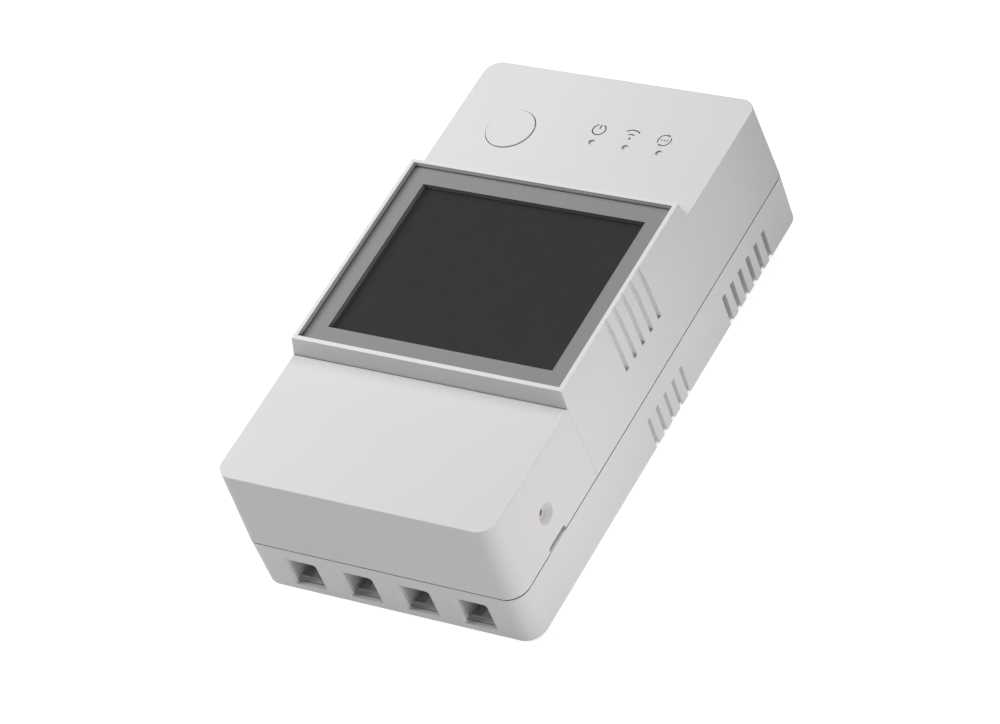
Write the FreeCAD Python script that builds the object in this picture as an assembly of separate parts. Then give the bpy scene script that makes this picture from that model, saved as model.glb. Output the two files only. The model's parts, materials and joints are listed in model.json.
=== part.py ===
import FreeCAD, Part
import math
import os

os.makedirs("parts", exist_ok=True)
V = FreeCAD.Vector

# Inline power switch with a display, lying on its back.
# Millimetres. X is the width, Y runs from the wire entries (-Y) to the button
# end (+Y), Z points out of the front face. The origin is the middle of the
# flat back face.

# ---------------------------------------------------------------- sizes
HX, HY = 27.0, 49.0          # half width and half length at the parting line
RC = 3.5                     # plan corner radius at the parting line
HP = 10.4                    # height of the parting line over the back face
ZF = 26.3                    # front face
DR_LOW, DR_UP = 0.19, 0.52   # draft of the base and of the upper shells, per side
GAP = 0.11                   # half of the gap at the parting line
FLOOR = 1.5                  # base floor thickness
CX, CY, CR = 24.8, 46.8, 1.6   # half sizes and corner radius of the base cavity
UX, UY = 24.5, 46.5            # half sizes of the cavity in the upper shells
ZI = 24.3                    # inside of the front wall
YC = -21.68                  # plane where the terminal cover meets the housing
CGAP = 0.03                  # gap of the cover to that plane
CGROOVE = 0.16               # width of the groove along the block's foot

# raised display block
ZR = 29.64                   # top of the rim
BX0, BYN0, BYP0 = 26.47, -21.68, 21.46   # outline at the front face
BX1, BYN1, BYP1 = 25.98, -21.04, 20.94   # outline at the rim top
RIMX, RIMY = 25.18, 20.19    # inside of the rim
ZG = 28.73                   # grey bezel surface
ZL = 27.60                   # black lens surface
WX, WYN, WYP = 21.61, -16.57, 16.61      # window in the bezel
ZPOCK = 26.70                # pocket floor that the lens lies on

# button and indicators
BTN = (-14.47, 33.80)
BTN_R, BTN_TOP, BTN_GAP, BTN_TRAVEL = 4.37, 26.48, 0.15, 0.40
LEDS = [(1.66, 33.77), (8.17, 33.77), (14.68, 33.77)]
LED_R = 0.60

# wire entries and terminals
ENTRY_X = [0.2 + 11.02 * (i - 1.5) for i in range(4)]
EN_L, EN_R = 3.27, 3.05       # reach of an entry to the left and right of its line
EN_Z0, EN_Z1 = 1.30, 7.80
NOSE_Y = -47.95              # front of the terminal block's nose, behind the thin end wall
TY = -41.4                   # line of the clamp screws
LIFT = 2.9                   # rise of a clamp cage

# boards
PZ0, PZ1 = 3.0, 4.6          # main board
DZ0, DZ1 = 20.0, 21.4        # control board under the front face

POSTS = [(-20.6, 42.2), (20.6, 42.2), (-20.6, -18.0), (20.6, -18.0)]
WALL_HOLES = [(-21.2, -28.9), (21.2, -28.9)]
PCB_SCREWS = [(-21.3, 8.0), (21.3, 8.0), (-1.2, 29.6)]
CTRL_SCREWS = [(-20.9, 25.6), (20.9, 25.6), (-5.5, 36.8), (20.9, 36.0)]
KEY = (0.0, 39.9)            # keyhole entry centre
KEY_END = 44.4               # centre of the slot end
KEY_R, KEY_SLOT_R = 2.9, 1.6

# vent rows: (start, width) along Y
VENT_A = [(21.85 + 3.0 * i, 1.17) for i in range(6)]
VENT_B = [(-6.12 + 2.91 * i, 0.95) for i in range(5)]


# ---------------------------------------------------------------- helpers
def box(x0, x1, y0, y1, z0, z1):
    return Part.makeBox(x1 - x0, y1 - y0, z1 - z0, V(x0, y0, z0))


def cyl(x, y, z0, z1, r):
    return Part.makeCylinder(r, z1 - z0, V(x, y, z0), V(0, 0, 1))


def cylx(y, z, x0, x1, r):
    return Part.makeCylinder(r, x1 - x0, V(x0, y, z), V(1, 0, 0))


def cyly(x, z, y0, y1, r):
    return Part.makeCylinder(r, y1 - y0, V(x, y0, z), V(0, 1, 0))


def cone(x, y, z0, z1, r0, r1):
    return Part.makeCone(r0, r1, z1 - z0, V(x, y, z0), V(0, 0, 1))


def mirx(s):
    return s.mirror(V(0, 0, 0), V(1, 0, 0))


def rprism(cx, cy, hx, hy, r, z0, z1):
    """Upright prism on a rounded rectangle."""
    a = Part.makeBox(2 * hx, 2 * (hy - r), z1 - z0, V(cx - hx, cy - hy + r, z0))
    b = Part.makeBox(2 * (hx - r), 2 * hy, z1 - z0, V(cx - hx + r, cy - hy, z0))
    parts = [b]
    for sx in (-1, 1):
        for sy in (-1, 1):
            parts.append(cyl(cx + sx * (hx - r), cy + sy * (hy - r), z0, z1, r))
    return a.fuse(parts).removeSplitter()


def prism_xz(pts, y0, y1):
    """Polygon in the XZ plane, run along Y."""
    w = Part.makePolygon([V(p[0], y0, p[1]) for p in pts] + [V(pts[0][0], y0, pts[0][1])])
    return Part.Face(w).extrude(V(0, y1 - y0, 0))


def prism_yz(pts, x0, x1):
    w = Part.makePolygon([V(x0, p[0], p[1]) for p in pts] + [V(x0, pts[0][0], pts[0][1])])
    return Part.Face(w).extrude(V(x1 - x0, 0, 0))


def prism_xy(pts, z0, z1):
    w = Part.makePolygon([V(p[0], p[1], z0) for p in pts] + [V(pts[0][0], pts[0][1], z0)])
    return Part.Face(w).extrude(V(0, 0, z1 - z0))


def ring_wire(hx, hy, r, z):
    e = []
    c = math.cos(math.pi / 4)
    e.append(Part.LineSegment(V(-hx + r, -hy, z), V(hx - r, -hy, z)).toShape())
    e.append(Part.Arc(V(hx - r, -hy, z), V(hx - r + r * c, -hy + r - r * c, z), V(hx, -hy + r, z)).toShape())
    e.append(Part.LineSegment(V(hx, -hy + r, z), V(hx, hy - r, z)).toShape())
    e.append(Part.Arc(V(hx, hy - r, z), V(hx - r + r * c, hy - r + r * c, z), V(hx - r, hy, z)).toShape())
    e.append(Part.LineSegment(V(hx - r, hy, z), V(-hx + r, hy, z)).toShape())
    e.append(Part.Arc(V(-hx + r, hy, z), V(-hx + r - r * c, hy - r + r * c, z), V(-hx, hy - r, z)).toShape())
    e.append(Part.LineSegment(V(-hx, hy - r, z), V(-hx, -hy + r, z)).toShape())
    e.append(Part.Arc(V(-hx, -hy + r, z), V(-hx + r - r * c, -hy + r - r * c, z), V(-hx + r, -hy, z)).toShape())
    return Part.Wire(e)


def drafted(hx0, hy0, r0, z0, d, z1):
    """Rounded box whose sides lean in by d from z0 to z1: flat sides and
    conical corners on upright axes."""
    ax, ay = hx0 - r0, hy0 - r0
    a0 = (hx0, hy0, r0)
    a1 = (hx0 - d, hy0 - d, r0 - d)
    faces = [Part.Face(ring_wire(*a0, z0)), Part.Face(ring_wire(*a1, z1))]

    def quad(p):
        return Part.Face(Part.makePolygon([V(*q) for q in p] + [V(*p[0])]))

    for s in (-1, 1):
        faces.append(quad([(s * hx0, -ay, z0), (s * hx0, ay, z0), (s * a1[0], ay, z1), (s * a1[0], -ay, z1)]))
        faces.append(quad([(-ax, s * hy0, z0), (ax, s * hy0, z0), (ax, s * a1[1], z1), (-ax, s * a1[1], z1)]))
    for sx, sy, ang in ((1, 1, 0), (-1, 1, 90), (-1, -1, 180), (1, -1, 270)):
        c = Part.makeCone(r0, a1[2], z1 - z0, V(0, 0, 0), V(0, 0, 1), 90)
        c.rotate(V(0, 0, 0), V(0, 0, 1), ang)
        c.translate(V(sx * ax, sy * ay, z0))
        for f in c.Faces:
            if f.Surface.TypeId == "Part::GeomCone":
                faces.append(f)
    sh = Part.makeShell(faces)
    sh.sewShape()
    s = Part.makeSolid(sh)
    if s.Volume < 0:
        s.reverse()
    return s


def hull8(bot, top):
    """Solid between two rectangles given as (x0, x1, y0, y1, z)."""
    def c(r):
        x0, x1, y0, y1, z = r
        return [V(x0, y0, z), V(x1, y0, z), V(x1, y1, z), V(x0, y1, z)]
    b, t = c(bot), c(top)
    fs = [Part.Face(Part.makePolygon(b + [b[0]])), Part.Face(Part.makePolygon(t + [t[0]]))]
    for i in range(4):
        j = (i + 1) % 4
        fs.append(Part.Face(Part.makePolygon([b[i], b[j], t[j], t[i], b[i]])))
    sh = Part.makeShell(fs)
    sh.sewShape()
    s = Part.makeSolid(sh)
    if s.Volume < 0:
        s.reverse()
    return s


def fillet_where(s, r, test):
    es = [e for e in s.Edges if test(e)]
    if not es:
        return s
    try:
        f = s.makeFillet(r, es)
        if f.isValid() and f.Volume > 0:
            return f
    except Exception as ex:
        print("fillet skipped:", ex)
    return s


def mid(e):
    return e.valueAt(0.5 * (e.FirstParameter + e.LastParameter))


OUT = {}


def put(name, shape):
    shape = shape.removeSplitter() if shape.ShapeType in ("Solid", "Compound") else shape
    OUT[name] = shape


# ---------------------------------------------------------------- base housing
low = drafted(HX - DR_LOW, HY - DR_LOW, RC - DR_LOW, 0.0, -DR_LOW, HP)
low = fillet_where(low, 0.75, lambda e: abs(mid(e).z) < 1e-6)
base = low.cut(box(-30, 30, -52, 52, HP - GAP, HP + 5))
cav = rprism(0, 0, CX, CY, CR, FLOOR, HP + 5)
base = base.cut(cav)
lip = rprism(0, 0, 25.85, 47.85, 2.4, HP - 1.0, HP + 1.2).cut(rprism(0, 0, CX, CY, CR, HP - 2, HP + 3))
base = base.fuse(lip)

# screw posts with head recesses in the back
for (x, y) in POSTS:
    base = base.fuse(cyl(x, y, 0.6, 9.8, 3.9))
for (x, y) in WALL_HOLES:
    base = base.fuse(cyl(x, y, 0.6, 4.2, 3.2))
for (x, y) in PCB_SCREWS:
    base = base.fuse(cyl(x, y, 1.0, PZ0, 2.3))
# closed chamber round the keyhole
base = base.fuse(box(-4.6, 4.6, 35.8, 46.9, 1.0, 5.6).cut(box(-3.8, 3.8, 36.6, 46.4, 1.0, 4.8)))
# tabs that the cover's locking screws reach
for s in (-1, 1):
    tab = box(23.3, 24.2, -38.2, -33.0, 1.0, 19.4)
    tab = tab.cut(cylx(-35.60, 16.95, 20, 26, 0.55))
    base = base.fuse(tab if s > 0 else mirx(tab))
# floor pads under the front of the terminal block
base = base.fuse([box(-20.5, -19.0, -44.2, -38, 1.0, 1.7), box(19.4, 20.9, -44.2, -38, 1.0, 1.7)])

cuts = []
for (x, y) in POSTS:
    cuts += [cyl(x, y, -1, 2.6, 3.0), cyl(x, y, 2.0, 12, 1.6)]
for (x, y) in WALL_HOLES:
    cuts += [cyl(x, y, -1, 6, 1.9), cone(x, y, 2.7, 4.21, 1.9, 3.0)]
for (x, y) in PCB_SCREWS:
    cuts += [cyl(x, y, 1.2, 4, 0.85)]
cuts += [cyl(KEY[0], KEY[1], -1, 2.5, KEY_R), box(-KEY_SLOT_R, KEY_SLOT_R, KEY[1], KEY_END, -1, 2.5),
         cyl(0, KEY_END, -1, 2.5, KEY_SLOT_R)]
# pocket behind the thin end wall, and the trough in the floor, for the
# terminal block's nose
cuts.append(box(-22.0, 22.4, NOSE_Y - 0.1, -46.7, FLOOR - 0.1, 8.6))
cuts.append(box(-22.0, 22.4, NOSE_Y - 0.1, -44.4, 0.75, FLOOR + 0.1))
# wire entries: square mouths with two rounded corners, through the end wall
for xc in ENTRY_X:
    m = box(xc - EN_L, xc + EN_R, -52, -47.5, EN_Z0, EN_Z1)
    m = fillet_where(m, 0.7, lambda e: abs(mid(e).z - EN_Z1) < 1e-6 and abs(mid(e).x - xc - EN_R) < 1e-6)
    m = fillet_where(m, 0.45, lambda e: abs(mid(e).z - EN_Z0) < 1e-6 and abs(mid(e).x - xc + EN_L) < 1e-6)
    cuts.append(m)
# shallow recess for a rating label on the back
cuts.append(rprism(0, -3.0, 15.0, 11.0, 1.0, -1.0, 0.12))
# side vents that wrap round the bottom edge
# over a small nose whose top slopes up to the floor
def vent(pts, y0, w):
    f = Part.Face(Part.makePolygon([V(x, y0, z) for (x, z) in pts + pts[:1]]))
    return f.extrude(V(0, w, 0))


NOSE = [(29.0, -1.0), (25.9, -1.0), (25.9, 0.38), (26.56, 0.38), (26.56, 0.60)]
for (y0, w) in VENT_A:
    c = vent([(24.0, 6.35), (29.0, 6.35)] + NOSE + [(25.66, FLOOR), (24.0, FLOOR)], y0, w)
    cuts += [c, mirx(c)]
for (y0, w) in VENT_B:
    c = vent([(25.98, 6.30), (29.0, 6.30)] + NOSE + [(25.98, 1.18)], y0, w)
    cuts += [c, mirx(c)]
base = base.cut(cuts)
put("base_housing", base)

# ---------------------------------------------------------------- upper shell, cut in two
up = drafted(HX, HY, RC, HP, DR_UP, ZF)

# housing half with the display block
half = up.common(box(-30, 30, YC, 52, HP + GAP, ZF + 1))
half = fillet_where(half, 0.15, lambda e: abs(mid(e).z - ZF) < 1e-6 and mid(e).y > YC + 0.5 and
                    (abs(mid(e).x) > 22 or mid(e).y > 40))
block = hull8((-BX0, BX0, BYN0, BYP0, ZF), (-BX1, BX1, BYN1, BYP1, ZR))
skirt = hull8((-BX0 - 0.0, BX0 + 0.0, BYN0, BYP0, ZF - 1.2), (-BX0, BX0, BYN0, BYP0, ZF))
block = fillet_where(block, 0.06, lambda e: abs(mid(e).z - ZR) < 1e-6)
block = fillet_where(block, 0.12, lambda e: abs(mid(e).x) > 25 and abs(abs(mid(e).y) - 21.2) < 0.6 and
                     abs(e.Vertexes[0].Z - e.Vertexes[-1].Z) > 2)
half = half.fuse([block, skirt]).removeSplitter()
half = half.cut(rprism(0, 0, UX, UY, 1.4, HP - 2, ZI))
# rabbet over the base lip
half = half.cut(rprism(0, 0, 25.95, 47.95, 2.5, HP - 1, HP + 1.35))
# display pocket and the opening for the module
half = half.cut([box(-RIMX, RIMX, -RIMY, RIMY, ZPOCK, ZR + 1), rprism(0, 0, 22.9, 17.9, 0.5, ZI - 1, ZPOCK + 0.5)])
# partition to the terminal room, with rails for the cover
part_w = box(-24.5, 24.5, YC, -19.9, HP + 1.35, ZI + 0.1).fuse(box(-24.4, 24.4, YC, -19.9, 5.0, HP + 1.4))
part_w = part_w.cut([cyl(x, y, 0, 9.95, 4.1) for (x, y) in POSTS if y < 0])
half = half.fuse(part_w)
rail = box(21.8, 24.1, -25.2, YC + 0.1, 5.0, 22.0).cut([box(22.9, 24.2, -24.0, -22.8, 4.0, 23.0),
                                                      cyl(20.6, -18.0, 0, 9.95, 4.1)])
half = half.fuse([rail, mirx(rail)])
# screw posts
for (x, y) in POSTS:
    top = ZI + 0.1 if y > 0 else 19.4
    half = half.fuse(cyl(x, y, 10.0, top, 3.0))
    if y < 0:
        sx = 1 if x > 0 else -1
        rib = box(22.8, 24.6, -18.6, -17.4, 12.2, 19.4)
        half = half.fuse(rib if sx > 0 else mirx(rib))
        half = half.fuse(box(x - 0.7, x + 0.7, -20.4, -20.4 + 1.0, 10.0, 19.4))
for (x, y) in CTRL_SCREWS:
    half = half.fuse(cyl(x, y, DZ1, ZI + 0.1, 2.2))
cuts = []
for (x, y) in POSTS:
    cuts.append(cyl(x, y, 9, 17.5, 1.3))
for (x, y) in CTRL_SCREWS:
    cuts.append(cyl(x, y, DZ1 - 1, 24.0, 0.85))
cuts.append(cyl(BTN[0], BTN[1], ZI - 1, ZF + 1, BTN_R + BTN_GAP))
for (x, y) in LEDS:
    cuts.append(cyl(x, y, ZI - 1, ZF + 1, LED_R))
# flank vents: grooves that deepen downwards and end in a slanted pocket
for (y0, w) in VENT_B:
    c = prism_xz([(25.90, 29.66), (28.5, 29.66), (28.5, 18.30), (26.03, 18.30)], y0, y0 + w)
    h = prism_xz([(26.70, 18.32), (26.10, 18.75), (25.35, 18.05), (25.35, 17.30), (25.60, 17.30)], y0, y0 + w)
    cuts += [c, mirx(c), h, mirx(h)]
half = half.cut(cuts)
put("upper_housing", half)

# terminal cover
cov = up.common(box(-30, 30, -52, YC - CGAP, HP + GAP, ZF + 1))
cov = fillet_where(cov, 0.15, lambda e: abs(mid(e).z - ZF) < 1e-6 and mid(e).y < YC - CGAP - 0.01)
cov = cov.cut(box(-26.25, 26.25, YC - CGROOVE, YC, ZF - 0.6, ZF + 1))
cov = cov.cut(rprism(0, 0, UX, UY, 1.4, HP - 2, ZI))
cov = cov.cut(rprism(0, 0, 26.15, 48.15, 2.7, HP - 1, HP + 1.5))
rib = box(23.2, 24.6, -23.8, -23.0, 12.0, ZI + 0.1)
boss = box(24.45, 24.6, -38.2, -33.0, 13.0, 21.0)
cov = cov.fuse([rib, mirx(rib)])
cuts = []
for s in (-1, 1):
    c1 = Part.makeCone(1.15, 2.30, 1.65, V(25.68, -35.60, 16.95), V(1, 0, 0))
    c2 = cylx(-35.60, 16.95, 23, 29, 0.62)
    notch = box(26.30, 29, -38.3, -33.0, HP - 1, HP + 0.98)
    notch = fillet_where(notch, 0.4, lambda e: abs(mid(e).z - (HP + 0.98)) < 1e-6 and abs(mid(e).y + 38.3) < 1e-6)
    for c in (c1, c2, notch):
        cuts.append(c if s > 0 else mirx(c))
cov = cov.cut(cuts)
# stiffening ribs under the cover's front wall
for x in (-10.5, 10.9):
    cov = cov.fuse(box(x - 0.6, x + 0.6, -46.6, -22.4, 22.6, ZI + 0.1))
put("terminal_cover", cov)

# ---------------------------------------------------------------- display
bez = box(-RIMX + 0.14, RIMX - 0.14, -RIMY + 0.14, RIMY - 0.14, ZL, ZG)
bez = fillet_where(bez, 0.06, lambda e: abs(mid(e).z - ZG) < 1e-6)
win_cy, win_hy = 0.5 * (WYN + WYP), 0.5 * (WYP - WYN)
bez = bez.cut(box(-WX, WX + 0.09, WYN - 0.07, WYP, ZL - 1, ZG + 1))
put("display_bezel", bez)
put("display_lens", rprism(0, 0, 24.8, 19.8, 0.4, ZPOCK, ZL))
put("lcd_module", rprism(0, 0, 22.7, 17.7, 0.4, 24.3, 26.65))
fr = rprism(0, 0, 22.7, 17.7, 0.4, DZ1, 24.3).cut(rprism(0, 0, 20.6, 15.6, 0.4, DZ1 + 1.4, 25))
fr = fr.cut([box(-24, -18, -2, 2, DZ1 - 1, DZ1 + 0.8), box(18, 24, -2, 2, DZ1 - 1, DZ1 + 0.8)])
put("backlight_frame", fr)
put("backlight_guide", rprism(0, 0, 20.4, 15.4, 0.3, DZ1 + 1.4, 24.2))

# ---------------------------------------------------------------- control board
ctrl = box(-23.6, 23.6, -19.2, 39.0, DZ0, DZ1)
ctrl = ctrl.cut([cyl(x, y, DZ0 - 1, DZ1 + 1, 3.5) for (x, y) in POSTS if y > 0])
ctrl = ctrl.cut([cyl(x, y, DZ0 - 1, DZ1 + 1, 1.1) for (x, y) in CTRL_SCREWS])
put("control_pcb", ctrl)
scr = [cyl(x, y, DZ0 - 1.3, DZ0, 1.9).fuse(cyl(x, y, DZ0, 23.8, 0.8)) for (x, y) in CTRL_SCREWS]
scr = [s.cut([box(x - 1.3, x + 1.3, y - 0.22, y + 0.22, DZ0 - 1.4, DZ0 - 0.7),
              box(x - 0.22, x + 0.22, y - 1.3, y + 1.3, DZ0 - 1.4, DZ0 - 0.7)]) for s, (x, y) in zip(scr, CTRL_SCREWS)]
put("control_board_screws", Part.makeCompound([s.removeSplitter() for s in scr]))

# button, switch, light pipe
bx, by = BTN
cap = cyl(bx, by, 23.6, 24.1, 5.3).fuse(cyl(bx, by, 24.0, BTN_TOP, BTN_R))
cap = cap.removeSplitter()
cap = fillet_where(cap, 0.08, lambda e: abs(mid(e).z - BTN_TOP) < 1e-6)
put("button_cap", cap)
sw = box(bx - 2.6, bx + 2.6, by - 2.6, by + 2.6, DZ1, 23.0)
sw = sw.cut(cyl(bx, by, 21.9, 24, 1.36))
put("tact_switch", sw)
put("tact_plunger", cyl(bx, by, 22.4, 23.6, 1.3))
pipe = box(LEDS[0][0] - 1.3, LEDS[2][0] + 1.3, 32.7, 34.6, 22.9, 24.2)
for (x, y) in LEDS:
    pipe = pipe.fuse(cyl(x, y, 24.0, 26.03, 0.56))
    pipe = pipe.fuse(cyl(x, y, 22.2, 23.0, 0.8))
put("light_pipe", pipe)
put("indicator_leds", Part.makeCompound([box(x - 0.8, x + 0.8, y - 0.6, y + 0.6, DZ1, 22.1) for (x, y) in LEDS]))

# ---------------------------------------------------------------- main board
pcb = box(-24.2, 24.2, -24.5, 37.0, PZ0, PZ1).fuse(box(-19.8, 20.4, -36.2, -24.0, PZ0, PZ1))
pcb = pcb.cut([box(-5.2, 5.2, 35.2, 40, 2, 6)] + [cyl(x, y, 0, 9, 4.3) for (x, y) in POSTS] + [cyl(x, y, 0, 9, 3.6) for (x, y) in WALL_HOLES] +
              [cyl(x, y, 0, 9, 1.1) for (x, y) in PCB_SCREWS])
put("main_pcb", pcb)
scr = []
for (x, y) in PCB_SCREWS:
    s = cyl(x, y, PZ1, PZ1 + 1.4, 2.0).fuse(cyl(x, y, 1.4, PZ1 + 0.1, 0.8))
    s = s.cut([box(x - 1.3, x + 1.3, y - 0.22, y + 0.22, PZ1 + 0.8, PZ1 + 2),
               box(x - 0.22, x + 0.22, y - 1.3, y + 1.3, PZ1 + 0.8, PZ1 + 2)])
    scr.append(s.removeSplitter())
put("pcb_screws", Part.makeCompound(scr))

# housing screws from the back
scr = []
for (x, y) in POSTS:
    s = cyl(x, y, 0.7, 2.6, 2.7).fuse(cyl(x, y, 2.5, 16.5, 1.25))
    s = s.cut([box(x - 1.8, x + 1.8, y - 0.35, y + 0.35, 0, 1.8), box(x - 0.35, x + 0.35, y - 1.8, y + 1.8, 0, 1.8)])
    scr.append(s.removeSplitter())
put("housing_screws", Part.makeCompound(scr))

# ---------------------------------------------------------------- terminal block
tb = box(-21.9, 22.3, -46.2, -36.4, 1.7, 20.0).fuse([box(-21.9, 22.3, -36.5, -32.6, 4.7, 20.0),
                                                   box(-21.9, 22.3, NOSE_Y, -44.5, 0.85, 8.45)])
cuts = []
for xc in ENTRY_X:
    m = box(xc - 3.13, xc + 2.95, -49, -44.5, 1.48, 7.70)                  # wire tunnel
    m = fillet_where(m, 0.6, lambda e: abs(mid(e).z - 7.70) < 1e-6 and abs(mid(e).x - xc - 2.95) < 1e-6)
    cuts.append(m)
    cuts.append(box(xc - 3.13, xc - 1.00, -47.02, -44.4, 0.0, 1.9))       # notch in its floor
    cuts.append(box(xc - 3.6, xc + 3.6, -44.6, -38.2, 1.9, 14.9))         # room of the cage
    cuts.append(cyl(xc, TY, 14.5, 17, 1.9))                               # screw shank
    cuts.append(cyl(xc, TY, 16.2, 21, 3.1))                               # screw head well
    cuts.append(box(xc - 2.15, xc + 2.15, -38.3, -34.7, 7.95, 9.05))      # contact tongue
    cuts.append(box(xc - 2.15, xc + 2.15, -36.05, -34.7, 4.0, 9.05))
for i in range(3):
    xm = 0.5 * (ENTRY_X[i] + ENTRY_X[i + 1])
    cuts.append(box(xm - 0.5, xm + 0.5, -47, -36.6, 11.0, 21))            # creepage slots
    cuts.append(box(xm - 0.5, xm + 0.5, -36.8, -31, 14.0, 21))
tb = tb.cut(cuts)
put("terminal_block", tb)

tongues = []
for i, xc in enumerate(ENTRY_X):
    t = box(xc - 2.1, xc + 2.1, -44.3, -34.8, 8.0, 9.0).fuse(box(xc - 2.1, xc + 2.1, -35.8, -34.8, 4.6, 8.5))
    t = t.fuse([box(xc - 1.6, xc - 0.4, -35.8, -34.8, 2.0, 5.0), box(xc + 0.4, xc + 1.6, -35.8, -34.8, 2.0, 5.0)])
    tongues.append(t.removeSplitter())
    cage = box(xc - 3.3, xc + 3.3, -44.2, -38.6, 2.2, 11.4).cut([box(xc - 2.5, xc + 2.5, -45, -38, 3.0, 9.9),
                                                               cyl(xc, TY, 9, 12, 1.78)])
    put("clamp_cage_%d" % (i + 1), cage)
    sc = cyl(xc, TY, 16.25, 18.3, 2.8).fuse(cyl(xc, TY, 9.35, 16.4, 1.70))
    sc = fillet_where(sc.removeSplitter(), 0.35, lambda e: abs(mid(e).z - 18.3) < 1e-6)
    sc = sc.cut([box(xc - 3.2, xc + 3.2, TY - 0.4, TY + 0.4, 17.3, 19),
                 box(xc - 0.4, xc + 0.4, TY - 1.7, TY + 1.7, 17.3, 19)])
    put("clamp_screw_%d" % (i + 1), sc)
pcb = OUT["main_pcb"].cut([box(xc + dx - 0.7, xc + dx + 0.7, -35.95, -34.65, 2, 6) for xc in ENTRY_X for dx in (-1.0, 1.0)])
put("main_pcb", pcb)
put("terminal_contacts", Part.makeCompound(tongues))

# ---------------------------------------------------------------- relay
rx0, rx1, ry0, ry1 = -16.6, 12.4, -15.2, -2.5
rym = 0.5 * (ry0 + ry1)
put("relay_base", box(rx0, rx1, ry0, ry1, 4.6, 6.2).fuse(
    [box(x - 0.5, x + 0.5, rym - 2, rym + 2, 2.2, 5.0) for x in (-14.0, 10.0)]))
pcb = OUT["main_pcb"].cut([box(x - 0.6, x + 0.6, rym - 2.1, rym + 2.1, 2, 6) for x in (-14.0, 10.0)])
put("main_pcb", pcb)
rc = box(rx0, rx1, ry0, ry1, 6.2, 19.6)
rc = fillet_where(rc, 0.5, lambda e: mid(e).z > 10)
rc = rc.cut(box(rx0 + 0.8, rx1 - 0.8, ry0 + 0.8, ry1 - 0.8, 6.0, 18.8))
put("relay_case", rc)
coil = cylx(rym, 11.6, -14.2, -0.4, 4.4).fuse([box(-15.0, -14.1, rym - 4.8, rym + 4.8, 6.8, 16.2),
                                             box(-0.5, 0.4, rym - 4.8, rym + 4.8, 6.8, 16.2)])
coil = coil.cut(cylx(rym, 11.6, -16, 2, 1.75))
put("relay_coil", coil)
yoke = cylx(rym, 11.6, -15.1, 0.8, 1.70).fuse([box(-15.75, -15.0, rym - 4.0, rym + 4.0, 6.6, 17.4),
                                             box(-15.75, 1.2, rym - 4.0, rym + 4.0, 16.3, 17.4)])
put("relay_yoke", yoke)
put("relay_armature", box(1.5, 2.6, rym - 3.8, rym + 3.8, 7.2, 16.2))
blade = box(2.65, 9.9, rym - 2.2, rym + 2.2, 15.9, 16.25).fuse(box(2.65, 3.0, rym - 2.2, rym + 2.2, 11.0, 16.2))
blade = blade.fuse(cyl(8.6, rym, 15.2, 16.0, 1.2)).cut(cyl(8.6, rym, 16.1, 17, 0.5))
put("relay_blade", blade)
fix = cyl(8.6, rym, 13.3, 14.2, 1.5).fuse([box(6.6, 10.4, rym - 2.2, rym + 2.2, 12.8, 13.35),
                                          box(9.9, 10.4, rym - 2.2, rym + 2.2, 6.2, 13.3)])
put("relay_fixed_contact", fix)

# ---------------------------------------------------------------- supply and measuring parts
put("transformer_core", box(8.6, 22.4, 17.4, 24.6, 8.2, 16.4).cut(box(11.4, 19.6, 17.0, 25.0, 9.6, 15.0)))
wind = box(11.5, 19.5, 15.2, 26.8, 9.7, 14.9)
wind = fillet_where(wind, 1.6, lambda e: abs(e.Vertexes[0].X - e.Vertexes[-1].X) > 5)
put("transformer_winding", wind)
put("transformer_bobbin", box(9.4, 21.6, 14.4, 27.6, 4.6, 8.1).cut([box(11.5, 19.5, 15.6, 26.4, 5.8, 9)]))
caps = []
for (x, y, r, h) in ((-2.4, 20.8, 4.0, 11.6), (-3.4, 11.0, 4.0, 11.6), (4.6, 9.6, 2.5, 9.0)):
    c = cyl(x, y, PZ1, PZ1 + h, r)
    c = fillet_where(c, 0.4, lambda e: abs(mid(e).z - PZ1 - h) < 1e-6)
    caps.append(c)
put("bulk_capacitors", Part.makeCompound(caps))
put("film_capacitor", fillet_where(box(12.0, 22.4, 0.5, 6.0, PZ1, PZ1 + 11.0), 0.5, lambda e: mid(e).z > 12))
va = cyly(-13.0, 11.2, 8.6, 12.6, 5.2).fuse([box(-16.0, -15.4, 10.2, 11.0, 2.6, 9.0), box(-10.6, -10.0, 10.2, 11.0, 2.6, 9.0)])
put("varistor", va)
put("input_fuse", cylx(17.4, 8.6, -19.0, -9.0, 1.9).fuse([cylx(17.4, 8.6, -20.4, -18.9, 2.2), cylx(17.4, 8.6, -9.1, -7.6, 2.2),
    box(-20.0, -19.4, 17.0, 17.8, 4.6, 8.0), box(-8.6, -8.0, 17.0, 17.8, 4.6, 8.0)]))
sh = box(13.8, 22.8, -13.6, -9.4, 4.6, 5.4).fuse([box(13.8, 14.8, -13.6, -9.4, 5.3, 9.0), box(21.8, 22.8, -13.6, -9.4, 5.3, 9.0),
    box(13.8, 22.8, -13.6, -9.4, 8.2, 9.0)]).cut(box(15.0, 21.6, -14, -9, 4, 5.5))
put("current_shunt", sh)
put("metering_chip", box(13.6, 19.6, -6.6, -2.8, PZ1, PZ1 + 1.6))
put("wifi_module", box(-22.8, -6.8, 22.0, 35.0, PZ1, PZ1 + 0.9).cut(cyl(-6.8, 28, 0, 9, 0.6)))
can = box(-21.8, -9.4, 23.0, 34.0, PZ1 + 0.9, PZ1 + 3.1).cut(box(-21.6, -9.6, 23.2, 33.8, PZ1 + 0.8, PZ1 + 2.9))
put("wifi_shield", can)
pins = [box(x - 0.32, x + 0.32, y - 0.32, y + 0.32, 2.4, DZ1 + 0.3) for x in (4.0, 6.5) for y in (27.2, 29.7, 32.2)]
hdr = box(2.7, 7.8, 25.9, 33.5, PZ1, PZ1 + 2.5)
put("board_pins", Part.makeCompound(pins))
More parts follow.
